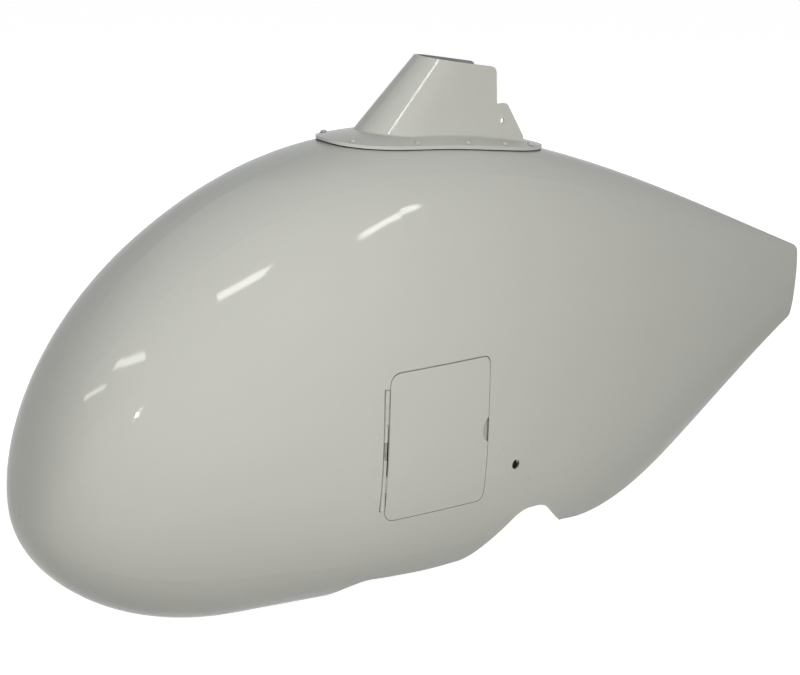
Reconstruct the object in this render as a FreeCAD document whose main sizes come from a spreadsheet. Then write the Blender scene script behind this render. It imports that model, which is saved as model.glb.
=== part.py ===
import FreeCAD, Part

import functools
import math
import os

import Sketcher

from FreeCAD import Placement, Rotation, Vector

doc = FreeCAD.newDocument("nose_wheel_fairing")
sheet = doc.addObject("Spreadsheet::Sheet", "sizes")

# Driving dimensions in millimetres. A name that ends in _back is measured aft from the nose tip,
# one that ends in _height is measured up from the keel, and a power shapes a rounded curve.
SIZES = (
    # outer shape of the body
    ("body_length", 954.0),
    ("body_width", 250.0),
    ("nose_height", 131.0),
    ("crown_back", 394.0),
    ("crown_height", 466.0),
    ("nose_top_power", 1.98),
    ("crown_fall", 1.33),
    ("tail_top_height", 290.0),
    ("tail_bottom_height", 209.5),
    ("keel_start_back", 212.0),
    ("keel_end_back", 572.0),
    ("nose_keel_power", 1.92),
    ("keel_rise", 1.28),
    ("widest_back", 274.0),
    ("nose_side_power", 2.46),
    ("side_taper", 1.28),
    ("tail_width", 12.0),
    ("tail_rake", 0.085),
    ("tail_corner_round", 8.0),
    ("upper_power_nose", 2.0),
    ("upper_power_middle", 2.42),
    ("upper_power_tail", 2.07),
    ("lower_power_nose", 2.23),
    ("lower_power_middle", 2.7),
    ("lower_power_tail", 2.17),
    ("lower_flatness", 1.22),
    ("skin_thickness", 2.5),
    ("tail_block", 52.0),
    ("bond_gap", 0.15),
    # axle line, which carries the fairing, and its doubler plates
    ("axle_back", 508.0),
    ("axle_height", 132.0),
    ("axle_bolt_radius", 5.0),
    ("plate_length", 54.0),
    ("plate_width", 54.0),
    ("plate_corner", 12.0),
    ("plate_thickness", 1.6),
    ("plate_rivet_length", 36.0),
    ("plate_rivet_width", 36.0),
    # wheel opening and tow bar notch
    ("opening_front_back", 316.0),
    ("opening_middle_back", 425.0),
    ("opening_taper_back", 588.0),
    ("opening_rear_back", 762.0),
    ("opening_front_width", 160.0),
    ("opening_middle_width", 133.0),
    ("opening_taper_width", 140.0),
    ("opening_rear_width", 46.0),
    ("opening_front_round", 34.0),
    ("opening_middle_round", 240.0),
    ("opening_taper_round", 60.0),
    ("opening_rear_round", 20.0),
    ("notch_back", 543.0),
    ("notch_height", 77.5),
    ("notch_top_length", 32.0),
    ("notch_top_round", 30.0),
    ("notch_foot_height", 24.5),
    ("notch_foot_round", 45.0),
    ("notch_flank_degrees", 42.0),
    # access door in the left wall
    ("door_front_back", 340.4),
    ("door_rear_back", 466.6),
    ("door_bottom_height", 101.4),
    ("door_top_height", 253.5),
    ("door_front_round", 12.0),
    ("door_rear_round", 8.0),
    ("door_gap", 0.6),
    ("door_top_gap", 1.3),
    ("door_thickness", 1.5),
    ("thumb_notch_height", 177.2),
    ("thumb_notch_length", 25.4),
    ("thumb_notch_depth", 7.2),
    ("stop_lip", 9.0),
    ("stop_bond_width", 12.0),
    ("stop_thickness", 2.0),
    ("stop_round", 10.0),
    ("thumb_clearance", 5.0),
    ("seal_width", 5.0),
    ("seal_gap", 0.3),
    # piano hinge at the door's front edge
    ("hinge_back", 336.9),
    ("hinge_bottom_height", 114.2),
    ("hinge_length", 124.6),
    ("hinge_sink", 0.6),
    ("knuckle_radius", 2.6),
    ("knuckle_gap", 0.25),
    ("knuckle_clearance", 1.2),
    ("knuckle_count", 7),
    ("leaf_width", 20.0),
    ("leaf_thickness", 1.0),
    ("leaf_round", 3.0),
    ("pin_radius", 1.2),
    ("pin_running_gap", 0.06),
    ("pin_overhang", 0.4),
    ("pin_chamfer", 0.3),
    ("spring_wire_radius", 0.45),
    ("spring_pin_gap", 0.3),
    ("spring_turns", 11),
    ("spring_leg", 11.0),
    ("spring_rest_gap", 0.1),
    ("spring_knee_radius", 0.52),
    ("spring_end_gap", 1.0),
    ("hinge_rivet_radius", 1.3),
    ("hinge_rivet_head_radius", 2.5),
    ("hinge_rivet_inset", 12.0),
    # strut cuff on the crown: flange and gasket
    ("gasket_thickness", 1.4),
    ("gasket_setback", 1.0),
    ("flange_thickness", 3.0),
    ("flange_front_back", 336.0),
    ("flange_widest_back", 421.0),
    ("flange_rear_back", 595.0),
    ("flange_width", 96.4),
    ("slot_front_back", 396.0),
    ("slot_rear_back", 552.0),
    ("slot_width", 40.0),
    # strut cuff: the raked wall that stands on the flange
    ("cuff_wall", 2.5),
    ("cuff_front_back", 405.0),
    ("cuff_front_height", 500.0),
    ("cuff_rake_degrees", 45.0),
    ("cuff_low_height", 420.0),
    ("cuff_low_half", 39.0),
    ("cuff_low_nose", 63.0),
    ("cuff_high_height", 560.0),
    ("cuff_high_half", 19.5),
    ("cuff_high_nose", 31.0),
    ("cuff_aft_taper", 0.021),
    ("cuff_top_front_height", 540.5),
    ("cuff_top_fall_degrees", 10.5),
    ("cuff_rear_back", 529.0),
    ("cuff_step_height", 487.5),
    ("cuff_step_back", 542.5),
    ("cuff_slope_back", 564.5),
    ("cuff_slope_height", 451.0),
    ("cuff_corner_round", 7.0),
    ("cuff_root_fillet", 3.0),
    ("tab_hole_back", 536.0),
    ("tab_hole_height", 470.0),
    ("tab_hole_radius", 2.5),
    # screws through the flange, washers, anchor nuts and their rivets
    ("screw_edge", 6.8),
    ("screw_radius", 1.75),
    ("screw_hole_gap", 0.3),
    ("screw_head_radius", 3.0),
    ("screw_head_height", 1.4),
    ("screw_length", 14.0),
    ("washer_radius", 3.8),
    ("washer_thickness", 0.5),
    ("nut_radius", 3.2),
    ("nut_height", 4.0),
    ("nut_thread_gap", 0.1),
    ("nut_lug_length", 22.0),
    ("nut_lug_width", 7.0),
    ("nut_lug_thickness", 1.0),
    ("nut_rivet_spacing", 16.0),
    ("nut_rivet_radius", 1.0),
    ("nut_rivet_head_radius", 1.7),
    ("seat_gap", 0.25),
    ("nut_gap", 0.4),
    ("rivet_gap", 0.12),
)

for row_number, (alias, number) in enumerate(SIZES, start=1):
    sheet.set("A%d" % row_number, alias)
    sheet.set("B%d" % row_number, str(number))
    sheet.setAlias("B%d" % row_number, alias)
doc.recompute()


def val(alias):
    return float(sheet.get(alias))


# Stations of the cuff screws, aft from the nose tip; each one is on both sides.
SCREW_BACKS = (354.0, 419.0, 481.0, 530.0, 570.0)

AXLE_BACK = val("axle_back")
AXLE_HEIGHT = val("axle_height")
LENGTH = val("body_length")
SKIN = val("skin_thickness")
GAP = val("bond_gap")
REACH = 200.0


def at(back, across, height):
    """A point of the model, whose origin is on the axle line."""
    return Vector(back - AXLE_BACK, across, height - AXLE_HEIGHT)


# Outer shape of the body


def smooth_step(u):
    u = min(max(u, 0.0), 1.0)
    return u * u * (3.0 - 2.0 * u)


def easing(u, power):
    """A cubic that leaves 0 level and reaches 1 at u = 1."""
    return (3.0 - power) * u ** 2 + (power - 2.0) * u ** 3


def rounded(u, power):
    """A rounded rise from 0 at u = 0 to a level 1 at u = 1."""
    return (1.0 - (1.0 - u) ** power) ** (1.0 / power)


def profile(back):
    """Top height, keel height and half width of the body at a station."""
    nose = val("nose_height")
    crown_back = val("crown_back")
    crown = val("crown_height")
    if back < crown_back:
        top = nose + (crown - nose) * rounded(back / crown_back, val("nose_top_power"))
    else:
        fall = easing((back - crown_back) / (LENGTH - crown_back), val("crown_fall"))
        top = crown - (crown - val("tail_top_height")) * fall
    keel = 0.0
    if back < val("keel_start_back"):
        keel = nose * (1.0 - rounded(back / val("keel_start_back"), val("nose_keel_power")))
    elif back > val("keel_end_back"):
        rise = (back - val("keel_end_back")) / (LENGTH - val("keel_end_back"))
        keel = val("tail_bottom_height") * easing(rise, val("keel_rise"))
    half = val("body_width") / 2.0
    widest = val("widest_back")
    if back < widest:
        half = half * rounded(back / widest, val("nose_side_power"))
    else:
        taper = easing((back - widest) / (LENGTH - widest), val("side_taper"))
        half = half - (half - val("tail_width") / 2.0) * taper
    return top, keel, half


def blended_power(name, back):
    """A section's power, which changes from nose to middle to tail."""
    nose = val(name + "_nose")
    middle = val(name + "_middle")
    tail = val(name + "_tail")
    to_middle = smooth_step((back - 0.15 * LENGTH) / (0.25 * LENGTH))
    to_tail = smooth_step((back - 0.6 * LENGTH) / (0.4 * LENGTH))
    return nose + (middle - nose) * to_middle + (tail - middle) * to_tail


def section_powers(back, upper):
    """Powers of the section's width and height."""
    if upper:
        power = blended_power("upper_power", back)
        return power, power
    power = blended_power("lower_power", back)
    to_middle = smooth_step((back - 0.15 * LENGTH) / (0.25 * LENGTH))
    flat = 1.0 + (val("lower_flatness") - 1.0) * to_middle
    return power / flat, power * flat


def rake_at(back):
    """How far the section leans aft for each millimetre of height."""
    return val("tail_rake") * (back / LENGTH) ** 4


def signed_power(value, power):
    return math.copysign(abs(value) ** power, value)


def station(s):
    """Distance aft of the nose tip at the fraction s, close together at the nose."""
    return LENGTH * (0.5 * s ** 2 + 0.5 * (1.0 - math.cos(s * math.pi / 2.0)))


def fraction_at(back):
    low, high = 0.0, 1.2
    for _ in range(60):
        middle = (low + high) / 2.0
        if station(middle) < back:
            low = middle
        else:
            high = middle
    return low


def surface_point(s, angle):
    """A point of the left half of the outer surface, from keel at -90 to crown at 90 degrees."""
    if s < 0.0:
        s = -s
        angle = angle + math.pi
    back = station(s)
    top, keel, half = profile(back)
    across = math.cos(angle)
    rise = math.sin(angle)
    width_power, height_power = section_powers(back, rise >= 0.0)
    middle = (top + keel) / 2.0
    height = middle + (top - keel) / 2.0 * signed_power(rise, 2.0 / height_power)
    lean = rake_at(back) * (height - val("tail_top_height"))
    return at(back + lean, -half * signed_power(across, 2.0 / width_power), height)


def offset_point(s, angle, offset):
    """A surface point moved outwards; aft of the nose it stays in its own section."""
    if s == 0.0:
        return at(-offset, 0.0, val("nose_height"))
    step = 0.002
    along = surface_point(s + step, angle) - surface_point(s - step, angle)
    around = surface_point(s, angle + step) - surface_point(s, angle - step)
    normal = around.cross(along)
    normal.normalize()
    point = surface_point(s, angle)
    centre = at(station(abs(s)), 0.0, sum(profile(station(abs(s)))[:2]) / 2.0)
    if normal.dot(point - centre) < 0.0:
        normal = normal * -1.0
    section = Vector(1.0, 0.0, -rake_at(station(abs(s))))
    section.normalize()
    in_section = normal - section * normal.dot(section)
    in_section = in_section * (1.0 / in_section.dot(in_section))
    share = smooth_step((station(abs(s)) / LENGTH - 0.3) / 0.3)
    return point + (normal * (1.0 - share) + in_section * share) * offset


@functools.lru_cache(maxsize=None)
def skin_solid(offset, rear_back, in_patches=False):
    """The body's outer shape as a solid, moved outwards by offset and closed at a station.

    In patches, its many small faces let a boolean find small holes anywhere on it.
    """
    rows, columns, extra = 40, 22, 3
    patch_rows, patch_columns = 4, 3
    rear = fraction_at(rear_back)
    grid = []
    for i in range(-extra, rows + 1):
        s = i * rear / rows
        angles = [-math.pi / 2.0 + j * math.pi / columns for j in range(-extra, columns + extra + 1)]
        grid.append([offset_point(s, angle, offset) for angle in angles])
    surface = Part.BSplineSurface()
    surface.interpolate(grid)
    u_knots = surface.getUKnots()
    v_knots = surface.getVKnots()
    u_knots = u_knots[extra:]
    v_knots = v_knots[extra:columns + extra + 1]
    if not in_patches:
        patch_rows, patch_columns = rows, columns
    u_cuts = u_knots[:-1:patch_rows] + u_knots[-1:]
    v_cuts = v_knots[:-1:patch_columns] + v_knots[-1:]
    patches = []
    for u_low, u_high in zip(u_cuts, u_cuts[1:]):
        for v_low, v_high in zip(v_cuts, v_cuts[1:]):
            patch = surface.copy()
            patch.segment(u_low, u_high, v_low, v_high)
            patches.append(patch.toShape())
    patches += [patch.mirror(Vector(), Vector(0.0, 1.0, 0.0)) for patch in patches]
    surface.segment(u_knots[0], u_knots[-1], v_knots[0], v_knots[-1])
    rear_edges = [surface.uIso(surface.bounds()[1]).toShape()]
    rear_edges.append(rear_edges[0].mirror(Vector(), Vector(0.0, 1.0, 0.0)))
    cap = Part.Face(Part.Wire(rear_edges))
    shell = Part.makeShell(patches + [cap])
    shell.sewShape()
    solid = Part.Solid(shell.Shells[0])
    if solid.Volume < 0.0:
        solid.reverse()
    return solid


def side_half_width(back, height):
    """Half width of the outer surface at a station and height."""
    base = back
    for _ in range(8):
        base = back - rake_at(base) * (height - val("tail_top_height"))
    top, keel, half = profile(base)
    middle = (top + keel) / 2.0
    width_power, height_power = section_powers(base, height >= middle)
    share = abs(height - middle) / ((top - keel) / 2.0)
    return half * (1.0 - share ** height_power) ** (1.0 / width_power)


def crown_height_at(back, across):
    """Height of the outer surface's upper half at a station and distance off centre."""
    base, height = back, val("crown_height")
    for _ in range(12):
        base = back - rake_at(base) * (height - val("tail_top_height"))
        top, keel, half = profile(base)
        width_power, height_power = section_powers(base, True)
        share = (1.0 - (abs(across) / half) ** width_power) ** (1.0 / height_power)
        height = (top + keel) / 2.0 + (top - keel) / 2.0 * share
    return height


def crown_placement(back, across, lift):
    """Stands a fastener on the crown: its Z along the surface normal, its X aft."""
    step = 0.5
    slope_x = (crown_height_at(back + step, across) - crown_height_at(back - step, across)) / (2 * step)
    slope_y = (crown_height_at(back, across + step) - crown_height_at(back, across - step)) / (2 * step)
    normal = Vector(-slope_x, -slope_y, 1.0)
    normal.normalize()
    point = at(back, across, crown_height_at(back, across)) + normal * lift
    return Placement(point, Rotation(Vector(1.0, 0.0, slope_x), Vector(), normal, "ZXY"))


def side_placement(back, height, side, lift):
    """Stands a fastener on a side wall: its Z along the outward normal."""
    step = 0.5
    slope_x = (side_half_width(back + step, height) - side_half_width(back - step, height)) / (2 * step)
    slope_z = (side_half_width(back, height + step) - side_half_width(back, height - step)) / (2 * step)
    normal = Vector(-slope_x, side, -slope_z)
    normal.normalize()
    point = at(back, side * side_half_width(back, height), height) + normal * lift
    return Placement(point, Rotation(Vector(0.0, 0.0, 1.0), normal))


# Outlines and blocks that trim the shapes


def rounded_wire(corners, radii):
    """A closed outline with an arc of its own radius at each corner."""
    edges = []
    starts = []
    ends = []
    count = len(corners)
    for i in range(count):
        corner = corners[i]
        to_last = (corners[i - 1] - corner).normalize()
        to_next = (corners[(i + 1) % count] - corner).normalize()
        if radii[i] == 0.0:
            starts.append(corner)
            ends.append(corner)
            continue
        half_angle = to_last.getAngle(to_next) / 2.0
        run = radii[i] / math.tan(half_angle)
        middle = (to_last + to_next).normalize()
        centre = corner + middle * (radii[i] / math.sin(half_angle))
        starts.append(corner + to_last * run)
        ends.append(corner + to_next * run)
        edges.append(Part.Arc(starts[i], centre - middle * radii[i], ends[i]).toShape())
    for i in range(count):
        start = ends[i]
        end = starts[(i + 1) % count]
        if start.distanceToPoint(end) > 1e-6:
            edges.append(Part.makeLine(start, end))
    return Part.Wire(Part.__sortEdges__(edges))


def side_block(corners, radii, inner, outer):
    """A block with an outline of (back, height) corners, between two distances off centre."""
    points = [at(back, inner, height) for back, height in corners]
    return Part.Face(rounded_wire(points, radii)).extrude(Vector(0.0, outer - inner, 0.0))


def plan_block(corners, radii, low, high):
    """A block with an outline of (back, across) corners, between two heights."""
    points = [at(back, across, low) for back, across in corners]
    return Part.Face(rounded_wire(points, radii)).extrude(Vector(0.0, 0.0, high - low))


def door_outline(grow, lift=0.0):
    """Corners and radii of the door's outline, moved outwards by grow, its top edge also up by lift."""
    front = val("door_front_back") - grow
    rear = val("door_rear_back") + grow
    low = val("door_bottom_height") - grow
    high = val("door_top_height") + grow + lift
    corners = ((front, low), (rear, low), (rear, high), (front, high))
    front_round = max(val("door_front_round") + grow, 1.0)
    rear_round = max(val("door_rear_round") + grow, 1.0)
    return corners, (front_round, rear_round, rear_round, front_round)


def left_block(corners, radii):
    """A block that crosses the left wall."""
    return side_block(corners, radii, -val("body_width") / 2.0 - 20.0, -40.0)


def flange_half_at(back, inset):
    """Half width of the flange's plan outline at a station, moved inwards by inset."""
    widest = val("flange_widest_back")
    half = val("flange_width") / 2.0 - inset
    if back < widest:
        share = (widest - back) / (widest - val("flange_front_back") - inset)
        return half * max(1.0 - share ** 2.5, 0.0) ** (1.0 / 2.5)
    share = (back - widest) / (val("flange_rear_back") - inset - widest)
    return half * max(1.0 - share ** 1.6, 0.0) ** (1.0 / 3.0)


def flange_block(inset):
    """An upright block with the flange's plan outline."""
    front = val("flange_front_back") + inset
    rear = val("flange_rear_back") - inset
    widest = val("flange_widest_back")
    steps = 14
    backs = [widest - (widest - front) * math.sin(k * math.pi / 2 / steps) for k in range(steps, 0, -1)]
    backs += [widest + (rear - widest) * math.sin(k * math.pi / 2 / steps) for k in range(steps + 1)]
    low = crown_height_at(rear, 0.0) - 60.0
    left = [at(back, -flange_half_at(back, inset), low) for back in backs]
    right = [at(back, flange_half_at(back, inset), low) for back in reversed(backs[1:-1])]
    curve = Part.BSplineCurve()
    curve.interpolate(Points=left + right, PeriodicFlag=True)
    return Part.Face(Part.Wire(curve.toShape())).extrude(Vector(0.0, 0.0, REACH))


def slot_block(low, high):
    """The strut's way through the crown: a long slot with round ends."""
    half = val("slot_width") / 2.0
    front = val("slot_front_back")
    rear = val("slot_rear_back")
    corners = ((front, -half), (rear, -half), (rear, half), (front, half))
    return plan_block(corners, (half - 0.01,) * 4, low, high)


def opening_block():
    """The wheel opening, seen from below."""
    front = val("opening_front_back")
    middle = val("opening_middle_back")
    taper = val("opening_taper_back")
    rear = val("opening_rear_back")
    left_side = (
        (front, -val("opening_front_width") / 2.0),
        (middle, -val("opening_middle_width") / 2.0),
        (taper, -val("opening_taper_width") / 2.0),
        (rear, -val("opening_rear_width") / 2.0),
    )
    right_side = tuple((back, -across) for back, across in reversed(left_side))
    radii = tuple(val("opening_%s_round" % place) for place in ("front", "middle", "taper", "rear"))
    return plan_block(left_side + right_side, radii + radii[::-1], -20.0, 112.0)


def notch_block():
    """The notch for the tow bar, seen from the side."""
    flank = math.radians(val("notch_flank_degrees"))
    top = val("notch_height")
    foot = val("notch_foot_height")
    centre = val("notch_back")
    half = val("notch_top_length") / 2.0
    run = (top - foot) / math.tan(flank)
    foot_length = val("notch_foot_round") * math.tan(flank / 2.0)
    below = -20.0
    corners = (
        (centre - half - run - foot_length, below),
        (centre - half - run - foot_length, foot),
        (centre - half - run, foot),
        (centre - half, top),
        (centre + half, top),
        (centre + half + (top - below) / math.tan(flank), below),
    )
    top_round = val("notch_top_round")
    radii = (0.0, 0.0, val("notch_foot_round") - 0.01, top_round, top_round, 0.0)
    reach = val("body_width") / 2.0 + 20.0
    return side_block(corners, radii, -reach, reach)


def tail_corner_block(height, along):
    """The sliver outside the rounded corner of the tail edge."""
    back = LENGTH + rake_at(LENGTH) * (height - val("tail_top_height"))
    corner = at(back, -REACH / 2.0, height)
    edge = Vector(rake_at(LENGTH), 0.0, -1.0 if along.z > 0.0 else 1.0)
    edge.x = math.copysign(edge.x, edge.z)
    edge.normalize()
    along = Vector(along)
    along.normalize()
    half_angle = edge.getAngle(along) / 2.0
    radius = val("tail_corner_round")
    run = radius / math.tan(half_angle)
    middle = (edge + along).normalize()
    centre = corner + middle * (radius / math.sin(half_angle))
    start = corner + edge * run
    end = corner + along * run
    tip = corner - middle * radius
    arc = Part.Arc(start, centre - middle * radius, end).toShape()
    outside = [Part.makeLine(end, end + (tip - corner)), Part.makeLine(end + (tip - corner), tip)]
    outside += [Part.makeLine(tip, start + (tip - corner)), Part.makeLine(start + (tip - corner), start)]
    return Part.Face(Part.Wire([arc] + outside)).extrude(Vector(0.0, REACH, 0.0))


def layer(block, outer_offset, inner_offset):
    """The part of a block between two surfaces parallel to the body's."""
    cap_back = LENGTH - val("tail_block")
    kept = block.common(skin_solid(outer_offset, cap_back))
    return kept.cut(skin_solid(inner_offset, cap_back))


def axle_cylinder(radius, start, length):
    """A cylinder about the axle line."""
    return Part.makeCylinder(radius, length, Vector(0.0, start, 0.0), Vector(0.0, 1.0, 0.0))


def add_feature(name, shape):
    """A sub-part of the document whose shape follows the body's surface."""
    feature = doc.addObject("Part::Feature", name)
    feature.Label = name
    feature.Shape = shape
    return feature


# Hinge line: a straight chord of the left wall, set a little under its surface

HINGE_BACK = val("hinge_back")
HINGE_LOW = val("hinge_bottom_height")
HINGE_HIGH = HINGE_LOW + val("hinge_length")
hinge_low_point = at(HINGE_BACK, val("hinge_sink") - side_half_width(HINGE_BACK, HINGE_LOW), HINGE_LOW)
hinge_high_point = at(HINGE_BACK, val("hinge_sink") - side_half_width(HINGE_BACK, HINGE_HIGH), HINGE_HIGH)
hinge_direction = (hinge_low_point - hinge_high_point).normalize()
hinge_run = hinge_low_point.distanceToPoint(hinge_high_point)
KNUCKLES = int(val("knuckle_count"))
knuckle_pitch = hinge_run / KNUCKLES
SPRING_KNUCKLE = KNUCKLES // 2


def hinge_cylinder(radius, start, end):
    """A cylinder about the hinge line, between two distances from its upper end."""
    return Part.makeCylinder(radius, end - start, hinge_high_point + hinge_direction * start, hinge_direction)


def knuckle_heights(index):
    """Lowest and highest height of a knuckle's band of the leaf."""
    scale = val("hinge_length") / hinge_run
    half_gap = val("knuckle_gap") / 2.0
    high = HINGE_HIGH - (index * knuckle_pitch + half_gap) * scale
    low = HINGE_HIGH - ((index + 1) * knuckle_pitch - half_gap) * scale
    return low, high


def hinge_leaf(owned, aft, outer_offset):
    """One leaf: a strip that follows the wall, with its rolled knuckles on the hinge line."""
    sign = 1.0 if aft else -1.0
    reach = val("knuckle_radius") + val("knuckle_clearance")
    inner_edge = HINGE_BACK + sign * reach
    outer_edge = HINGE_BACK + sign * val("leaf_width")
    half_gap = val("knuckle_gap") / 2.0
    corners = (
        (inner_edge, HINGE_LOW), (outer_edge, HINGE_LOW), (outer_edge, HINGE_HIGH), (inner_edge, HINGE_HIGH))
    leaf_round = val("leaf_round")
    strip = left_block(corners, (0.0, leaf_round, leaf_round, 0.0))
    tongues = []
    barrels = []
    for index in owned:
        low, high = knuckle_heights(index)
        tongue = ((HINGE_BACK, low), (inner_edge + sign, low), (inner_edge + sign, high), (HINGE_BACK, high))
        tongues.append(left_block(tongue, (0.0,) * 4))
        start = index * knuckle_pitch + half_gap
        barrels.append(hinge_cylinder(val("knuckle_radius"), start, start + knuckle_pitch - 2.0 * half_gap))
    plate = layer(strip.fuse(tongues), outer_offset, outer_offset - val("leaf_thickness"))
    bore = hinge_cylinder(val("pin_radius") + val("pin_running_gap"), -5.0, hinge_run + 5.0)
    return plate.fuse(barrels).cut(bore).removeSplitter()


# Fasteners: one of each kind, built from primitives that follow the sheet


def primitive(kind, name, position_z="0", **sizes):
    """A primitive whose sizes and height are expressions on the sheet."""
    item = doc.addObject(kind, name)
    for prop, expression in sizes.items():
        item.setExpression(prop, expression)
    item.setExpression("Placement.Base.z", position_z)
    return item


def fused(name, *items):
    joined = doc.addObject("Part::MultiFuse", name)
    joined.Shapes = list(items)
    return joined


def cut_from(name, base, tool):
    cut = doc.addObject("Part::Cut", name)
    cut.Base = base
    cut.Tool = tool
    return cut


screw_shank = primitive(
    "Part::Cylinder", "screw_shank", "-sizes.screw_length",
    Radius="sizes.screw_radius", Height="sizes.screw_length + sizes.screw_head_height / 2")
screw_head = primitive(
    "Part::Cone", "screw_head", Radius1="sizes.screw_head_radius",
    Radius2="sizes.screw_head_radius * 0.72", Height="sizes.screw_head_height")
screw_blank = fused("screw_blank", screw_shank, screw_head)

washer_disc = primitive(
    "Part::Cylinder", "washer_disc", Radius="sizes.washer_radius", Height="sizes.washer_thickness")
washer_hole = primitive(
    "Part::Cylinder", "washer_hole", "-1",
    Radius="sizes.screw_radius + sizes.screw_hole_gap", Height="sizes.washer_thickness + 2")
washer_blank = cut_from("washer_blank", washer_disc, washer_hole)

nut_barrel = primitive(
    "Part::Cylinder", "nut_barrel", "-sizes.nut_lug_thickness - sizes.nut_height",
    Radius="sizes.nut_radius", Height="sizes.nut_height + sizes.nut_lug_thickness / 2")
nut_lug = primitive(
    "Part::Box", "nut_lug", "-sizes.nut_lug_thickness",
    Length="sizes.nut_lug_length", Width="sizes.nut_lug_width", Height="sizes.nut_lug_thickness")
nut_lug.setExpression("Placement.Base.x", "-sizes.nut_lug_length / 2")
nut_lug.setExpression("Placement.Base.y", "-sizes.nut_lug_width / 2")
nut_thread = primitive(
    "Part::Cylinder", "nut_thread", "-sizes.nut_lug_thickness - sizes.nut_height - 1",
    Radius="sizes.screw_radius + sizes.nut_thread_gap",
    Height="sizes.nut_height + sizes.nut_lug_thickness + 2")
nut_rivet_holes = []
for side_name, sign in (("front", "-"), ("rear", "")):
    hole = primitive(
        "Part::Cylinder", "nut_rivet_hole_" + side_name, "-sizes.nut_lug_thickness - 1",
        Radius="sizes.nut_rivet_radius + sizes.rivet_gap", Height="sizes.nut_lug_thickness + 2")
    hole.setExpression("Placement.Base.x", sign + "sizes.nut_rivet_spacing / 2")
    nut_rivet_holes.append(hole)
nut_blank = cut_from(
    "nut_blank", fused("nut_body", nut_barrel, nut_lug), fused("nut_holes", nut_thread, *nut_rivet_holes))


def rivet_blank(name, shank, head, grip):
    """A flush rivet: countersunk head level with z = 0 and an upset tail under the grip."""
    grip = grip + val("rivet_gap")
    tail_height = shank * 1.1
    head_depth = head - shank
    body = Part.makeCylinder(shank, grip + tail_height / 2.0, Vector(0.0, 0.0, -grip - tail_height / 2.0))
    cone = Part.makeCone(shank, head, head_depth, Vector(0.0, 0.0, -head_depth))
    tail = Part.makeCylinder(shank * 1.45, tail_height, Vector(0.0, 0.0, -grip - tail_height))
    blank = doc.addObject("Part::Feature", name)
    blank.Shape = body.fuse([cone, tail]).removeSplitter()
    return blank


def rivet_hole(shank, head, grip):
    """The countersunk hole that a flush rivet fills."""
    gap = val("rivet_gap")
    head_depth = head - shank
    hole = Part.makeCylinder(shank + gap, grip + 2.0, Vector(0.0, 0.0, -grip - 1.0))
    cone = Part.makeCone(shank + gap, head + gap + 1.0, head_depth + 1.0, Vector(0.0, 0.0, -head_depth))
    return hole.fuse(cone)


def copies(shape, placements):
    """Copies of a shape, one at each placement."""
    group = []
    for place in placements:
        item = shape.copy()
        item.Placement = place.multiply(item.Placement)
        group.append(item)
    return group


doc.recompute()

# Places of the fasteners
screw_places = []
for screw_back in SCREW_BACKS:
    screw_across = flange_half_at(screw_back, val("screw_edge"))
    screw_places += [(screw_back, -screw_across), (screw_back, screw_across)]
flange_low = GAP + val("gasket_thickness") + GAP
flange_high = flange_low + val("flange_thickness")
on_flange = [crown_placement(b, a, flange_high + val("seat_gap")) for b, a in screw_places]
washer_top = flange_high + val("seat_gap") + val("washer_thickness")
on_washer = [crown_placement(b, a, washer_top + GAP / 2.0) for b, a in screw_places]
under_skin = [crown_placement(b, a, -SKIN - val("nut_gap")) for b, a in screw_places]
nut_rivet_places = []
for place in [crown_placement(b, a, -val("rivet_gap")) for b, a in screw_places]:
    for sign in (-1.0, 1.0):
        shift = Placement(Vector(sign * val("nut_rivet_spacing") / 2.0, 0.0, 0.0), Rotation())
        nut_rivet_places.append(place.multiply(shift))

shell_rivet_back = HINGE_BACK - val("hinge_rivet_inset")
door_rivet_back = HINGE_BACK + val("hinge_rivet_inset")
shell_rivet_places = []
door_rivet_places = []
for index in range(KNUCKLES):
    height = sum(knuckle_heights(index)) / 2.0
    if index % 2 == 0 and index != SPRING_KNUCKLE:
        shell_rivet_places.append(side_placement(shell_rivet_back, height, -1.0, -val("rivet_gap")))
    elif index != SPRING_KNUCKLE:
        door_rivet_places.append(side_placement(door_rivet_back, height, -1.0, -val("rivet_gap")))

plate_half_length = val("plate_length") / 2.0
plate_half_width = val("plate_width") / 2.0
plate_rivet_places = {}
for side in (-1.0, 1.0):
    plate_rivet_places[side] = []
    for along_share in (-0.5, 0.5):
        for up_share in (-0.5, 0.5):
            back = AXLE_BACK + along_share * val("plate_rivet_length")
            height = AXLE_HEIGHT + up_share * val("plate_rivet_width")
            plate_rivet_places[side].append(side_placement(back, height, side, -val("rivet_gap")))

# Fairing shell
hinge_slot_front = HINGE_BACK - val("knuckle_radius") - val("knuckle_clearance")
hinge_slot_rear = val("door_front_back") + 1.0
slot_low = HINGE_LOW - val("door_gap")
slot_high = HINGE_HIGH + val("door_gap")
hinge_slot = left_block(
    ((hinge_slot_front, slot_low), (hinge_slot_rear, slot_low), (hinge_slot_rear, slot_high),
     (hinge_slot_front, slot_high)), (0.0,) * 4)
rivet_shank = val("hinge_rivet_radius")
rivet_head = val("hinge_rivet_head_radius")
shell_grip = SKIN + GAP + val("leaf_thickness")
door_grip = val("door_thickness") + GAP + val("leaf_thickness")
nut_grip = SKIN + val("nut_gap") + val("nut_lug_thickness")
plate_grip = SKIN + GAP + val("plate_thickness")
screw_bore = Part.makeCylinder(val("screw_radius") + val("screw_hole_gap"), 24.0, Vector(0.0, 0.0, -12.0))
screw_bores = copies(screw_bore, [crown_placement(b, a, 0.0) for b, a in screw_places])
shell_hinge_holes = copies(rivet_hole(rivet_shank, rivet_head, shell_grip), shell_rivet_places)
nut_shank = val("nut_rivet_radius")
nut_head = val("nut_rivet_head_radius")
nut_rivet_bores = copies(rivet_hole(nut_shank, nut_head, nut_grip), nut_rivet_places)
plate_rivet_holes = {}
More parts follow.
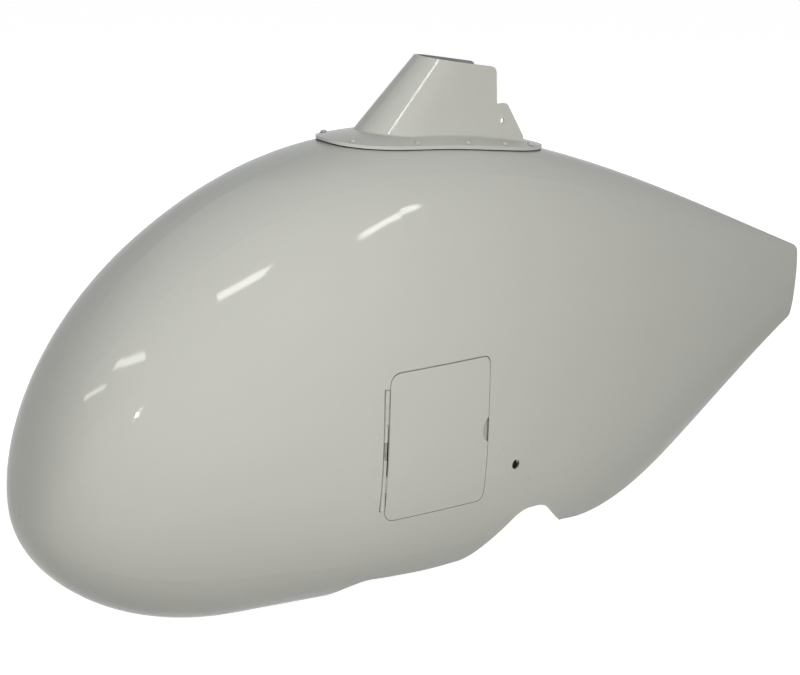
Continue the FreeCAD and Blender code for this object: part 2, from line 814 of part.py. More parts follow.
for side, places in plate_rivet_places.items():
    plate_rivet_holes[side] = copies(rivet_hole(rivet_shank, rivet_head, plate_grip), places)
wall_reach = val("body_width") / 2.0 + 10.0
axle_bore = axle_cylinder(val("axle_bolt_radius"), -wall_reach, 2.0 * wall_reach)

top_slope = (profile(LENGTH)[0] - profile(LENGTH - 5.0)[0]) / 5.0
keel_slope = (profile(LENGTH)[1] - profile(LENGTH - 5.0)[1]) / 5.0
tail_corners = [
    tail_corner_block(val("tail_top_height"), Vector(-1.0, 0.0, -top_slope)),
    tail_corner_block(val("tail_bottom_height"), Vector(-1.0, 0.0, -keel_slope)),
]
shell_tools = [
    skin_solid(-SKIN, LENGTH - val("tail_block"), True),
    opening_block(),
    notch_block(),
    left_block(*door_outline(val("door_gap"), val("door_top_gap") - val("door_gap"))),
    hinge_slot,
    slot_block(crown_height_at(val("slot_rear_back"), 0.0) - 60.0, val("crown_height") + 60.0),
    axle_bore,
] + tail_corners
shell_holes = screw_bores + nut_rivet_bores + shell_hinge_holes
shell_holes += plate_rivet_holes[-1.0] + plate_rivet_holes[1.0]
add_feature("fairing_shell", skin_solid(0.0, LENGTH, True).cut(shell_tools).cut(shell_holes))


# Strut cuff


def cuff_outline(height, inset):
    """The cuff wall's closed plan outline at a height: rounded nose, sides that draw in aft."""
    share = (height - val("cuff_low_height")) / (val("cuff_high_height") - val("cuff_low_height"))
    half = val("cuff_low_half") + (val("cuff_high_half") - val("cuff_low_half")) * share - inset
    nose = val("cuff_low_nose") + (val("cuff_high_nose") - val("cuff_low_nose")) * share
    rake = math.radians(val("cuff_rake_degrees"))
    lean = (height - val("cuff_front_height")) / math.tan(rake)
    front = val("cuff_front_back") + lean + inset / math.sin(rake)
    widest = front + nose
    rear = val("cuff_slope_back") + 20.0
    steps = 10
    left = []
    for k in range(steps, 0, -1):
        back = widest + (rear - widest) * k / steps
        left.append((back, half - val("cuff_aft_taper") * (back - widest) ** 1.3))
    for k in range(steps, 0, -1):
        turn = k * math.pi / 2.0 / steps
        left.append((widest - nose * math.cos(turn), half * math.sin(turn)))
    left_points = [at(back, -across, height) for back, across in left]
    right_points = [at(back, across, height) for back, across in reversed(left)]
    curve = Part.BSplineCurve()
    curve.interpolate(left_points + [at(front, 0.0, height)] + right_points)
    return Part.Wire([curve.toShape(), Part.makeLine(right_points[-1], left_points[0])])


def cuff_loft(inset):
    ends = [cuff_outline(val("cuff_low_height"), inset), cuff_outline(val("cuff_high_height"), inset)]
    return Part.makeLoft(ends, True, True)


def cuff_side_block():
    """The cuff wall's outline, seen from the side: falling top, step at the rear, sloped tab."""
    rake = math.radians(val("cuff_rake_degrees"))
    fall = math.tan(math.radians(val("cuff_top_fall_degrees")))
    front_top = val("cuff_top_front_height")
    front_top_back = val("cuff_front_back") + (front_top - val("cuff_front_height")) / math.tan(rake)
    front = val("flange_front_back") - 20.0
    rear_top = front_top - fall * (val("cuff_rear_back") - front_top_back)
    low = val("cuff_low_height")
    corners = (
        (front, low),
        (val("cuff_slope_back"), low),
        (val("cuff_slope_back"), val("cuff_slope_height")),
        (val("cuff_step_back"), val("cuff_step_height")),
        (val("cuff_rear_back"), val("cuff_step_height")),
        (val("cuff_rear_back"), rear_top),
        (front, front_top + fall * (front_top_back - front)),
    )
    corner = val("cuff_corner_round")
    radii = (0.0, 0.0, corner, corner, corner / 3.0, corner, 0.0)
    reach = val("flange_width")
    return side_block(corners, radii, -reach, reach)


def root_edges(shape, wall, flange):
    """Edges where the wall's outside meets the top of the flange."""
    found = []
    for edge in shape.Edges:
        first, last = edge.ParameterRange
        points = [edge.valueAt(first + (last - first) * share) for share in (0.25, 0.5, 0.75)]
        vertices = [Part.Vertex(point) for point in points]
        if all(wall.distToShape(v)[0] < 0.02 and flange.distToShape(v)[0] < 0.02 for v in vertices):
            found.append(edge)
    return found


cap_back = LENGTH - val("tail_block")
slot = slot_block(crown_height_at(val("slot_rear_back"), 0.0) - 60.0, val("crown_height") + 60.0)
cuff_outside = cuff_loft(0.0)
under_flange = skin_solid(flange_low, cap_back)
flange_top = skin_solid(flange_high, cap_back)
cuff_wall = cuff_outside.cut(cuff_loft(val("cuff_wall"))).common(cuff_side_block()).cut(under_flange)
flange_plate = flange_block(0.0).common(flange_top).cut([under_flange, slot])
cuff_shape = flange_plate.fuse(cuff_wall).removeSplitter()
roots = root_edges(cuff_shape, cuff_outside.Shells[0], flange_top.Shells[0])
cuff_shape = cuff_shape.makeFillet(val("cuff_root_fillet"), roots)
tab_hole = Part.makeCylinder(
    val("tab_hole_radius"), REACH, at(val("tab_hole_back"), -REACH / 2.0, val("tab_hole_height")),
    Vector(0.0, 1.0, 0.0))
add_feature("strut_cuff", cuff_shape.cut(screw_bores + [tab_hole]))

gasket_plate = layer(flange_block(val("gasket_setback")), GAP + val("gasket_thickness"), GAP)
add_feature("cuff_gasket", gasket_plate.cut([slot] + screw_bores))

add_feature("cuff_screws", Part.makeCompound(copies(screw_blank.Shape, on_washer)))
add_feature("cuff_washers", Part.makeCompound(copies(washer_blank.Shape, on_flange)))
add_feature("cuff_nutplates", Part.makeCompound(copies(nut_blank.Shape, under_skin)))
nut_rivet = rivet_blank("nut_rivet_blank", nut_shank, nut_head, nut_grip)
add_feature("cuff_nutplate_rivets", Part.makeCompound(copies(nut_rivet.Shape, nut_rivet_places)))

# Axle doubler plates, bonded and riveted inside each side wall

for side_word, side in (("left", -1.0), ("right", 1.0)):
    front, rear = AXLE_BACK - plate_half_length, AXLE_BACK + plate_half_length
    low, high = AXLE_HEIGHT - plate_half_width, AXLE_HEIGHT + plate_half_width
    plate_corners = ((front, low), (rear, low), (rear, high), (front, high))
    plate_block = side_block(plate_corners, (val("plate_corner"),) * 4, side * 40.0, side * wall_reach)
    plate_outer = -SKIN - GAP
    plate = layer(plate_block, plate_outer, plate_outer - val("plate_thickness"))
    add_feature("axle_plate_" + side_word, plate.cut([axle_bore] + plate_rivet_holes[side]))
    blank = rivet_blank("plate_rivet_blank_" + side_word, rivet_shank, rivet_head, plate_grip)
    rivets = Part.makeCompound(copies(blank.Shape, plate_rivet_places[side]))
    add_feature("axle_plate_rivets_" + side_word, rivets)

# Access door, the frame it closes on and its seal

thumb_length = val("thumb_notch_length")
thumb_depth = val("thumb_notch_depth")
thumb_radius = (thumb_length ** 2 / 4.0 + thumb_depth ** 2) / (2.0 * thumb_depth)
thumb_back = val("door_rear_back") - thumb_depth + thumb_radius
thumb_notch = Part.makeCylinder(
    thumb_radius, REACH, at(thumb_back, -REACH, val("thumb_notch_height")), Vector(0.0, 1.0, 0.0))
door_hinge_holes = copies(rivet_hole(rivet_shank, rivet_head, door_grip), door_rivet_places)
door_plate = layer(left_block(*door_outline(0.0)), 0.0, -val("door_thickness"))
add_feature("access_door", door_plate.cut([thumb_notch] + door_hinge_holes))

lip = val("stop_lip")
frame_inner = door_outline(-lip)[0]
frame_open = frame_inner[0][0] + 1.0
hinge_side = left_block(
    ((0.0, frame_inner[0][1]), (frame_open, frame_inner[0][1]), (frame_open, frame_inner[2][1]),
     (0.0, frame_inner[2][1])), (0.0,) * 4)
thumb_half = thumb_length / 2.0 + val("thumb_clearance")
thumb_front = val("door_rear_back") - thumb_depth - val("thumb_clearance")
thumb_low = val("thumb_notch_height") - thumb_half
thumb_high = val("thumb_notch_height") + thumb_half
thumb_recess = left_block(
    ((thumb_front, thumb_low), (LENGTH, thumb_low), (LENGTH, thumb_high), (thumb_front, thumb_high)),
    (0.0,) * 4)
frame_window = left_block(frame_inner, (0.0, val("stop_round"), val("stop_round"), 0.0))
frame_outer_offset = -SKIN - GAP
frame_block = left_block(*door_outline(val("stop_bond_width")))
frame_plate = layer(frame_block, frame_outer_offset, frame_outer_offset - val("stop_thickness"))
add_feature("door_stop_frame", frame_plate.cut([frame_window, hinge_side]))

seal_edge = door_outline(-val("door_gap"))
seal_window = left_block(*door_outline(-val("door_gap") - val("seal_width")))
seal_plate = layer(left_block(*seal_edge), -val("door_thickness") - val("seal_gap"), -SKIN)
add_feature("door_seal", seal_plate.cut([seal_window, hinge_side, thumb_recess]))

# Piano hinge: two leaves, pin, torsion spring and rivets

shell_owned = [index for index in range(0, KNUCKLES, 2) if index != SPRING_KNUCKLE]
door_owned = [index for index in range(1, KNUCKLES, 2) if index != SPRING_KNUCKLE]
shell_leaf = hinge_leaf(shell_owned, False, -SKIN - GAP)
door_leaf = hinge_leaf(door_owned, True, -val("door_thickness") - GAP)
add_feature("hinge_leaf_shell", shell_leaf.cut(shell_hinge_holes))
add_feature("hinge_leaf_door", door_leaf.cut(door_hinge_holes))
shell_rivet = rivet_blank("shell_rivet_blank", rivet_shank, rivet_head, shell_grip)
add_feature("hinge_rivets_shell", Part.makeCompound(copies(shell_rivet.Shape, shell_rivet_places)))
door_rivet = rivet_blank("door_rivet_blank", rivet_shank, rivet_head, door_grip)
add_feature("hinge_rivets_door", Part.makeCompound(copies(door_rivet.Shape, door_rivet_places)))

pin_body = doc.addObject("PartDesign::Body", "hinge_pin")
pin_body.Label = "hinge_pin"
pin_sketch = pin_body.newObject("Sketcher::SketchObject", "pin_section")
pin_sketch.addGeometry(Part.Circle(Vector(), Vector(0.0, 0.0, 1.0), val("pin_radius")), False)
pin_sketch.addConstraint(Sketcher.Constraint("Coincident", 0, 3, -1, 1))
pin_sketch.addConstraint(Sketcher.Constraint("Radius", 0, val("pin_radius")))
pin_sketch.setExpression("Constraints[1]", "sizes.pin_radius")
pin_pad = pin_body.newObject("PartDesign::Pad", "pin_pad")
pin_pad.Profile = pin_sketch
pin_pad.setExpression("Length", "sizes.hinge_length + 2 * sizes.pin_overhang")
doc.recompute()
pin_ends = pin_body.newObject("PartDesign::Chamfer", "pin_ends")
round_edges = [
    "Edge%d" % number for number, edge in enumerate(pin_pad.Shape.Edges, 1)
    if isinstance(edge.Curve, Part.Circle)]
pin_ends.Base = (pin_pad, round_edges)
pin_ends.setExpression("Size", "sizes.pin_chamfer")
inward = Vector(0.0, 1.0, 0.0) - hinge_direction * hinge_direction.y
inward.normalize()
hinge_turn = Rotation(inward, Vector(), hinge_direction, "ZXY")
pin_body.Placement = Placement(hinge_high_point - hinge_direction * val("pin_overhang"), hinge_turn)

wire_radius = val("spring_wire_radius")
coil_radius = val("pin_radius") + val("spring_pin_gap") + wire_radius
coil_start = SPRING_KNUCKLE * knuckle_pitch + val("spring_end_gap")
coil_length = knuckle_pitch - 2.0 * val("spring_end_gap")
coil_path = Part.makeHelix(coil_length / int(val("spring_turns")), coil_length, coil_radius)
coil_section = Part.Wire(Part.makeCircle(wire_radius, Vector(coil_radius, 0.0, 0.0), Vector(0.0, 1.0, 0.0)))
coil = Part.Wire(coil_path).makePipeShell([coil_section], True, True)
coil.Placement = Placement(hinge_high_point + hinge_direction * coil_start, hinge_turn)
spring_legs = []
spring_ends = (
    (coil_start, -1.0, SKIN + GAP),
    (coil_start + coil_length, 1.0, val("door_thickness") + GAP),
)
for run, sign, leaf_offset in spring_ends:
    coil_end = hinge_high_point + hinge_direction * run + inward * coil_radius
    leg_back = HINGE_BACK + sign * val("spring_leg")
    leg_height = coil_end.z + AXLE_HEIGHT
    leg_depth = leaf_offset + val("leaf_thickness") + wire_radius + val("spring_rest_gap")
    leg_end = at(leg_back, leg_depth - side_half_width(leg_back, leg_height), leg_height)
    leg = leg_end - coil_end
    spring_legs.append(Part.makeCylinder(wire_radius, leg.Length, coil_end, leg))
    spring_legs.append(Part.makeSphere(val("spring_knee_radius"), coil_end))
add_feature("hinge_spring", coil.fuse(spring_legs))

NODES = (
    "fairing_shell", "strut_cuff", "cuff_gasket", "cuff_screws", "cuff_washers", "cuff_nutplates",
    "cuff_nutplate_rivets", "access_door", "door_stop_frame", "door_seal", "hinge_leaf_shell",
    "hinge_leaf_door", "hinge_pin", "hinge_spring", "hinge_rivets_shell", "hinge_rivets_door",
    "axle_plate_left", "axle_plate_right", "axle_plate_rivets_left", "axle_plate_rivets_right",
)

doc.recompute()
for item in doc.Objects:
    if "Invalid" in item.State or "Error" in item.State:
        raise RuntimeError("object %s did not compute: %s" % (item.Name, item.State))
for name in NODES:
    shape = doc.getObject(name).Shape
    if shape.isNull() or not shape.isValid():
        raise RuntimeError("sub-part %s has no valid shape" % name)

os.makedirs("parts", exist_ok=True)
for name in NODES:
    doc.getObject(name).Shape.exportStep("parts/%s.step" % name)
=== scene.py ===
import math

import bmesh
import bpy
from mathutils import Matrix, Vector


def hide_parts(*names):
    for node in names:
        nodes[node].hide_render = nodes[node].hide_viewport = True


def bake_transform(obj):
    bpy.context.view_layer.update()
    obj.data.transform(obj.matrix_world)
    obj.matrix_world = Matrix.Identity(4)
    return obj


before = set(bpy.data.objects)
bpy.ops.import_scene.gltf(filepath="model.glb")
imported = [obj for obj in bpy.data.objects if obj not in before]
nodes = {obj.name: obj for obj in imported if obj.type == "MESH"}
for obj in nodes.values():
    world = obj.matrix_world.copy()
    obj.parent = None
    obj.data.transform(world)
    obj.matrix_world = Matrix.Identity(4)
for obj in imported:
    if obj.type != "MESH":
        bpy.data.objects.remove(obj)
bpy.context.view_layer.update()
print("frame loaded:", len(nodes), "nodes")

bodyMiddle = (-0.1, 0.0, 0.1)      # a point well inside the body, in metres
cuffMiddle = (-0.02, 0.0, 0.30)    # a point well inside the cuff


# shader helpers

class Socket:
    """One shader value; the usual operators add Math nodes."""

    def __init__(self, paint, link):
        self.paint = paint
        self.link = link

    def math(self, operation, other=0.0, clamp=False):
        node = self.paint.node("ShaderNodeMath", {"operation": operation, "use_clamp": clamp}, {0: self, 1: other})
        return self.paint.out(node, 0)

    def __add__(self, other): return self.math("ADD", other)
    def __sub__(self, other): return self.math("SUBTRACT", other)
    def __mul__(self, other): return self.math("MULTIPLY", other)
    def __gt__(self, other): return self.math("GREATER_THAN", other)

    def __rsub__(self, other):
        node = self.paint.node("ShaderNodeMath", {"operation": "SUBTRACT"}, {0: other, 1: self})
        return self.paint.out(node, 0)

    def sine(self): return self.math("SINE")
    def clamped(self): return self.math("ADD", 0.0, clamp=True)


class Paint:
    """A material's node tree, with one method for every other node."""

    def __init__(self, name):
        self.material = bpy.data.materials.new(name)
        self.material.use_nodes = True
        self.tree = self.material.node_tree
        self.surface = self.tree.nodes["Principled BSDF"]
        self.where = self.node("ShaderNodeTexCoord")

    def node(self, kind, settings=None, values=None):
        made = self.tree.nodes.new(kind)
        for key, value in (settings or {}).items():
            setattr(made, key, value)
        for key, value in (values or {}).items():
            self.feed(made.inputs[key], value)
        return made

    def feed(self, target, value):
        if isinstance(value, Socket):
            self.tree.links.new(value.link, target)
        elif hasattr(value, "is_output"):
            self.tree.links.new(value, target)
        elif hasattr(target.default_value, "__len__") and not hasattr(value, "__len__"):
            target.default_value = [value] * len(target.default_value)
        elif hasattr(value, "__len__") and len(value) == 3 and len(target.default_value) == 4:
            target.default_value = (*value, 1.0)
        else:
            target.default_value = value

    def out(self, node, key=0):
        return Socket(self, node.outputs[key])

    def place(self, scale=(1.0, 1.0, 1.0)):
        """Object coordinates in metres, scaled."""
        mapping = self.node("ShaderNodeMapping", {}, {"Vector": self.where.outputs["Object"], "Scale": scale})
        return mapping.outputs["Vector"]

    def noise(self, size, detail=3.0, roughness=0.5, scale=(1.0, 1.0, 1.0)):
        """Noise with features of about size metres."""
        made = self.node("ShaderNodeTexNoise", {}, {"Vector": self.place(scale), "Scale": 1.0 / size,
                                                    "Detail": detail, "Roughness": roughness})
        return self.out(made, "Fac")

    def mix(self, share, first, second):
        made = self.node("ShaderNodeMix", {"data_type": "RGBA"}, {0: share, 6: first, 7: second})
        return self.out(made, 2)

    def bump(self, height, distance, strength=1.0):
        made = self.node("ShaderNodeBump", {}, {"Height": height, "Distance": distance, "Strength": strength})
        return made.outputs["Normal"]

    def coordinate(self, axis):
        split = self.node("ShaderNodeSeparateXYZ", {}, {0: self.where.outputs["Object"]})
        return self.out(split, axis)

    def facesOut(self, middle):
        """1 where the surface faces away from a point inside a convex piece, 0 on its inside."""
        away = self.node("ShaderNodeVectorMath", {"operation": "SUBTRACT"},
                         {0: self.where.outputs["Object"], 1: middle})
        dot = self.node("ShaderNodeVectorMath", {"operation": "DOT_PRODUCT"},
                        {0: self.where.outputs["Normal"], 1: away.outputs[0]})
        return self.out(dot, "Value") > 0.0

    def finish(self, **sockets):
        for name, value in sockets.items():
            self.feed(self.surface.inputs[name.replace("_", " ")], value)
        return self.material


# gelcoat on the body, the door and the cuff

gelcoat = {
    "white": (0.605, 0.605, 0.56),
    "warm": (0.59, 0.59, 0.54),
    "roughness": 0.42,
    "specular": 0.03,
    "coat": 0.45,
    "coatRoughness": 0.07,
    "laminate": (0.33, 0.30, 0.20),
    "laminateDark": (0.20, 0.18, 0.115),
    "primer": (0.50, 0.50, 0.46),
    "cloth": 0.0042,                # pitch of the glass cloth inside, in metres
    "clothDepth": 0.00022,
    "rippleDepth": 0.00001,
    "insideRoughness": 0.55,
}


def makeGelcoat(name, middle, lining, liningDark):
    paint = Paint(name)
    outside = paint.facesOut(middle)
    mottle = paint.noise(0.11, 2.0)
    colour = paint.mix(mottle, gelcoat["white"], gelcoat["warm"])
    weaveX = (paint.coordinate(0) * (2.0 * math.pi / gelcoat["cloth"])).sine()
    weaveZ = (paint.coordinate(2) * (2.0 * math.pi / gelcoat["cloth"])).sine()
    weave = (weaveX * weaveZ * 0.5 + 0.5).clamped()
    resin = paint.noise(0.03, 5.0, 0.6)
    cloth = paint.mix((weave * 0.55 + resin * 0.45).clamped(), liningDark, lining)
    ripple = paint.noise(0.0035, 2.0)
    height = ripple * outside * gelcoat["rippleDepth"] + weave * (1.0 - outside) * gelcoat["clothDepth"]
    rough = paint.noise(0.05, 3.0) * 0.08 + gelcoat["roughness"] - 0.04
    return paint.finish(
        Base_Color=paint.mix(outside, cloth, colour),
        Roughness=rough * outside + (1.0 - outside) * gelcoat["insideRoughness"],
        Specular_IOR_Level=gelcoat["specular"],
        Coat_Weight=outside * gelcoat["coat"],
        Coat_Roughness=gelcoat["coatRoughness"],
        Normal=paint.bump(height, 1.0, 1.0))


# the other finishes

finishes = {
    "rubber": {"colour": (0.018, 0.018, 0.019), "roughness": 0.7},
    "steel": {"colour": (0.55, 0.55, 0.54), "roughness": 0.3},
    "plated": {"colour": (0.42, 0.37, 0.22), "roughness": 0.38},
    "aluminium": {"colour": (0.62, 0.63, 0.64), "roughness": 0.34},
    "laminate": {"colour": (0.33, 0.30, 0.20), "dark": (0.19, 0.17, 0.11), "primer": (0.50, 0.50, 0.46)},
}


def makeRubber(name):
    finish = finishes["rubber"]
    paint = Paint(name)
    grain = paint.noise(0.0006, 2.0)
    dust = (paint.noise(0.02, 4.0) - 0.45).clamped() * 0.25
    return paint.finish(
        Base_Color=paint.mix(dust, finish["colour"], (0.09, 0.088, 0.082)),
        Roughness=grain * 0.15 + finish["roughness"],
        Normal=paint.bump(grain * 0.00005, 1.0, 0.6))


def makeMetal(name, finish, painted=0.0):
    paint = Paint(name)
    marks = paint.noise(0.0012, 4.0, 0.6, (1.0, 1.0, 0.12))
    smear = paint.noise(0.01, 3.0)
    dark = tuple(v * 0.82 for v in finish["colour"])
    return paint.finish(
        Base_Color=paint.mix(smear, dark, finish["colour"]),
        Metallic=1.0 - painted,
        Roughness=marks * 0.16 + finish["roughness"] - 0.06,
        Normal=paint.bump(marks * 0.00002, 1.0, 0.5))


def makeRivet(name, middle):
    paint = Paint(name)      # heads painted with the body, tails bare inside
    outside = paint.facesOut(middle)
    return paint.finish(
        Base_Color=paint.mix(outside, finishes["aluminium"]["colour"], gelcoat["white"]),
        Metallic=1.0 - outside,
        Roughness=paint.noise(0.002, 3.0) * 0.1 + 0.36,
        Specular_IOR_Level=gelcoat["specular"],
        Coat_Weight=outside * gelcoat["coat"],
        Coat_Roughness=gelcoat["coatRoughness"])


def makeLaminate(name):
    finish = finishes["laminate"]
    paint = Paint(name)
    outside = paint.facesOut(bodyMiddle)
    turn = 2.0 * math.pi / gelcoat["cloth"]
    weave = ((paint.coordinate(0) * turn).sine() * (paint.coordinate(2) * turn).sine() * 0.5 + 0.5).clamped()
    resin = paint.noise(0.02, 5.0, 0.6)
    bare = paint.mix((weave * 0.5 + resin * 0.5).clamped(), finish["dark"], finish["colour"])
    return paint.finish(
        Base_Color=paint.mix(outside, bare, finish["primer"]),
        Roughness=resin * 0.2 + 0.42,
        Normal=paint.bump(weave * 0.0002, 1.0, 0.8))


bodyGelcoat = makeGelcoat("bodyGelcoat", bodyMiddle, gelcoat["laminate"], gelcoat["laminateDark"])
rubberBlack = makeRubber("rubberBlack")
steelBright = makeMetal("steelBright", finishes["steel"])
nutPlated = makeMetal("nutPlated", finishes["plated"])
plateAluminium = makeMetal("plateAluminium", finishes["aluminium"])
paintedMetal = makeMetal("paintedMetal", {"colour": gelcoat["white"], "roughness": 0.36}, 1.0)
rivetPaint = makeRivet("rivetPaint", bodyMiddle)
cuffGelcoat = makeGelcoat("cuffGelcoat", cuffMiddle, gelcoat["white"], gelcoat["primer"])
frameLaminate = makeLaminate("frameLaminate")
print("finishes made")

nodeFinish = {
    "fairing_shell": bodyGelcoat,
    "strut_cuff": cuffGelcoat,
    "access_door": bodyGelcoat,
    "cuff_gasket": rubberBlack,
    "door_seal": rubberBlack,
    "cuff_screws": paintedMetal,
    "cuff_washers": paintedMetal,
    "cuff_nutplates": nutPlated,
    "cuff_nutplate_rivets": plateAluminium,
    "door_stop_frame": frameLaminate,
    "hinge_leaf_shell": paintedMetal,
    "hinge_leaf_door": paintedMetal,
    "hinge_pin": steelBright,
    "hinge_spring": paintedMetal,
    "hinge_rivets_shell": rivetPaint,
    "hinge_rivets_door": rivetPaint,
    "axle_plate_left": plateAluminium,
    "axle_plate_right": plateAluminium,
    "axle_plate_rivets_left": rivetPaint,
    "axle_plate_rivets_right": rivetPaint,
}
for name, finish in nodeFinish.items():
    nodes[name].data.materials.clear()
    nodes[name].data.materials.append(finish)
print("nodes painted")


# torsion spring, drawn again as a wire

spring = {
    "middle": (-0.1711, -0.119423, 0.0445),
    "down": (0.0, 0.052482, -0.998622),
    "length": 0.01582,
    "turns": 11,
    "steps": 18,                     # per turn
    "coil": 0.00195,                 # radius of the wire's centre line
    "wire": 0.00045,
    "sides": 8,
    "shellLeg": (-0.1821, -0.1190, 0.0525),
    "doorLeg": (-0.1600, -0.1183, 0.0367),
}


def sweepWire(name, points, radius, sides):
    """A closed tube along a line of points."""
    wire = bmesh.new()
    rings = []
    across = Vector((0.3, 1.0, 0.1)).normalized()
    for index, point in enumerate(points):
        before, after = points[max(index - 1, 0)], points[min(index + 1, len(points) - 1)]
        ahead = (after - before).normalized()
        across = (across - ahead * across.dot(ahead)).normalized()
        beside = ahead.cross(across)
        ring = []
        for step in range(sides):
            angle = 2.0 * math.pi * step / sides
            ring.append(wire.verts.new(point + (across * math.cos(angle) + beside * math.sin(angle)) * radius))
        rings.append(ring)
    for ring, following in zip(rings, rings[1:]):
        for step in range(sides):
            last = (step + 1) % sides
            wire.faces.new((ring[step], ring[last], following[last], following[step]))
    wire.faces.new(list(reversed(rings[0])))
    wire.faces.new(rings[-1])
    bmesh.ops.recalc_face_normals(wire, faces=wire.faces)
    for face in wire.faces:
        face.smooth = len(face.verts) == 4
    data = bpy.data.meshes.new(name)
    wire.to_mesh(data)
    wire.free()
    made = bpy.data.objects.new(name, data)
    bpy.context.scene.collection.objects.link(made)
    return made


springMiddle, springDown = Vector(spring["middle"]), Vector(spring["down"])
springInward = Vector((0.0, 1.0, 0.0))
springInward = (springInward - springDown * springInward.dot(springDown)).normalized()
springAft = springDown.cross(springInward)
springPoints = [Vector(spring["shellLeg"])]
springSteps = spring["turns"] * spring["steps"]
for step in range(springSteps + 1):
    share = step / springSteps
    angle = 2.0 * math.pi * spring["turns"] * share
    sideways = springInward * math.cos(angle) + springAft * math.sin(angle)
    springPoints.append(springMiddle + springDown * spring["length"] * (share - 0.5) + sideways * spring["coil"])
springPoints.append(Vector(spring["doorLeg"]))
springWire = sweepWire("springWire", springPoints, spring["wire"], spring["sides"])
springWire.data.materials.append(paintedMetal)
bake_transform(springWire)
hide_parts("hinge_spring")
print("spring wound")


# floor, world and lamps

studio = {
    "floorHeight": -0.1335,
    "floorSize": 14.0,
    "floorColour": (0.36, 0.36, 0.355),
    "floorGlow": 0.96,
    "sky": (0.97, 0.985, 1.0),
    "skyLevel": 0.03,
    "background": 1.0,
    "soft": (
        # name, place, size, power, colour, whether it is seen in reflections
        ("keyFront", (-2.00, -1.30, 0.30), 0.8, 11.8, (1.0, 0.997, 0.98), False),
        ("fillSide", (-0.14, -1.10, 0.24), 0.6, 4.05, (1.0, 0.997, 0.98), False),
        ("skyTop", (-0.02, -0.50, 2.40), 1.2, 6.5, (0.93, 0.965, 1.0), False),
        ("fillBack", (0.90, 2.10, 0.90), 1.2, 20.0, (1.0, 0.997, 0.98), False),
        ("ceilingBlue", (-0.80, 1.20, 3.60), 2.0, 8.0, (0.74, 0.85, 1.0), True),
    ),
    "tubes": (
        # name, one end, other end, width, radiance; each one reflects as a narrow streak
        ("tubeShoulder", (-0.169, -3.171, 2.794), (-0.943, -3.005, 2.890), 0.26, 19.0),
        ("tubeCrown", (2.403, -2.368, 2.358), (1.410, -3.178, 2.216), 0.22, 19.0),
        ("tubeNose", (-2.575, -2.436, 2.561), (-3.397, -1.182, 2.593), 0.24, 15.0),
        ("tubeNoseTip", (-3.649, -1.263, 2.175), (-4.023, -0.173, 1.924), 0.14, 14.0),
        ("flash", (-1.83, -2.64, 0.83), (-1.91, -2.64, 0.83), 0.10, 150.0),
    ),
}

floorMesh = bmesh.new()
bmesh.ops.create_grid(floorMesh, x_segments=1, y_segments=1, size=studio["floorSize"] / 2.0)
bmesh.ops.translate(floorMesh, verts=floorMesh.verts, vec=(0.0, 0.0, studio["floorHeight"]))
floorData = bpy.data.meshes.new("studioFloor")
floorMesh.to_mesh(floorData)
floorMesh.free()
studioFloor = bpy.data.objects.new("studioFloor", floorData)
bpy.context.scene.collection.objects.link(studioFloor)
floorPaint = Paint("floorWhite")
rays = floorPaint.node("ShaderNodeLightPath")
seen = (floorPaint.out(rays, "Is Camera Ray") + floorPaint.out(rays, "Is Glossy Ray")
        + floorPaint.out(rays, "Is Transmission Ray")).clamped()
floorData.materials.append(floorPaint.finish(
    Base_Color=studio["floorColour"], Roughness=0.9, Specular_IOR_Level=0.0,
    Emission_Color=(1.0, 1.0, 1.0), Emission_Strength=seen * studio["floorGlow"]))

world = bpy.data.worlds.new("studioSky")
world.use_nodes = True
bpy.context.scene.world = world
skyTree = world.node_tree
background = skyTree.nodes["Background"]
background.inputs["Color"].default_value = (*studio["sky"], 1.0)
skyRays = skyTree.nodes.new("ShaderNodeLightPath")
skyLevel = skyTree.nodes.new("ShaderNodeMix")
skySeen = skyTree.nodes.new("ShaderNodeMath")
skySeen.use_clamp = True
skyShown = skyTree.nodes.new("ShaderNodeMath")
skyShown.use_clamp = True
skyTree.links.new(skyRays.outputs["Is Camera Ray"], skySeen.inputs[0])
skyTree.links.new(skyRays.outputs["Is Glossy Ray"], skySeen.inputs[1])
skyTree.links.new(skySeen.outputs[0], skyShown.inputs[0])
skyTree.links.new(skyRays.outputs["Is Transmission Ray"], skyShown.inputs[1])
skyTree.links.new(skyShown.outputs[0], skyLevel.inputs[0])
skyLevel.inputs[2].default_value = studio["skyLevel"]
skyLevel.inputs[3].default_value = studio["background"]
skyTree.links.new(skyLevel.outputs[0], background.inputs["Strength"])


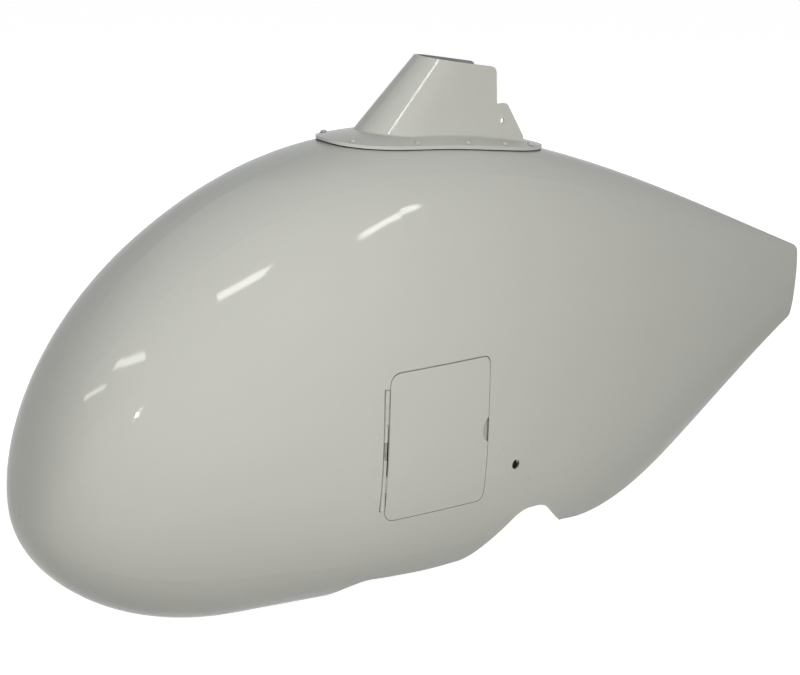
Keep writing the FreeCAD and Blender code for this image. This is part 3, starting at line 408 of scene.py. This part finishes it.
def hangLamp(name, place, across, size, power, colour):
    """An area lamp at place that faces the part, its long side along across."""
    lamp = bpy.data.lights.new(name, "AREA")
    lamp.shape = "RECTANGLE"
    lamp.size, lamp.size_y = size
    lamp.energy = power
    lamp.color = colour
    holder = bpy.data.objects.new(name, lamp)
    back = Vector(place).normalized()
    along = (across - back * across.dot(back)).normalized()
    side = back.cross(along)
    holder.matrix_world = Matrix((
        (along.x, side.x, back.x, place[0]),
        (along.y, side.y, back.y, place[1]),
        (along.z, side.z, back.z, place[2]),
        (0.0, 0.0, 0.0, 1.0)))
    bpy.context.scene.collection.objects.link(holder)
    return holder


for name, place, size, power, colour, reflected in studio["soft"]:
    holder = hangLamp(name, place, Vector((1.0, 0.0, 0.0)), (size, size), power, colour)
    holder.visible_glossy = reflected
for name, start, end, width, radiance in studio["tubes"]:
    start, end = Vector(start), Vector(end)
    span = end - start
    power = radiance * math.pi * span.length * width
    hangLamp(name, tuple((start + end) / 2.0), span, (span.length, width), power, (1.0, 1.0, 0.98))
print("studio lit")

# camera at the photograph's viewpoint

viewpoint = {
    "azimuth": -33.581,              # degrees, 0 looks along +Y
    "elevation": 14.639,
    "roll": 1.079,
    "distance": 3.14567,
    "target": (-0.07645, 0.0, 0.11953),
    "lens": 139.18,
}

turn = math.radians(viewpoint["azimuth"])
rise = math.radians(viewpoint["elevation"])
roll = math.radians(viewpoint["roll"])
backward = Vector((math.sin(turn) * math.cos(rise), -math.cos(turn) * math.cos(rise), math.sin(rise)))
level = Vector((math.cos(turn), math.sin(turn), 0.0))
upright = backward.cross(level)
sideways = level * math.cos(roll) + upright * math.sin(roll)
upwards = upright * math.cos(roll) - level * math.sin(roll)
cameraData = bpy.data.cameras.new("photoCamera")
cameraData.lens = viewpoint["lens"]
cameraData.sensor_width = 36.0
cameraData.clip_end = 50.0
camera = bpy.data.objects.new("photoCamera", cameraData)
place = Vector(viewpoint["target"]) + backward * viewpoint["distance"]
camera.matrix_world = Matrix((
    (sideways.x, upwards.x, backward.x, place.x),
    (sideways.y, upwards.y, backward.y, place.y),
    (sideways.z, upwards.z, backward.z, place.z),
    (0.0, 0.0, 0.0, 1.0)))
bpy.context.scene.collection.objects.link(camera)
bpy.context.scene.camera = camera
bpy.context.scene.view_settings.view_transform = "Standard"
print("camera placed")
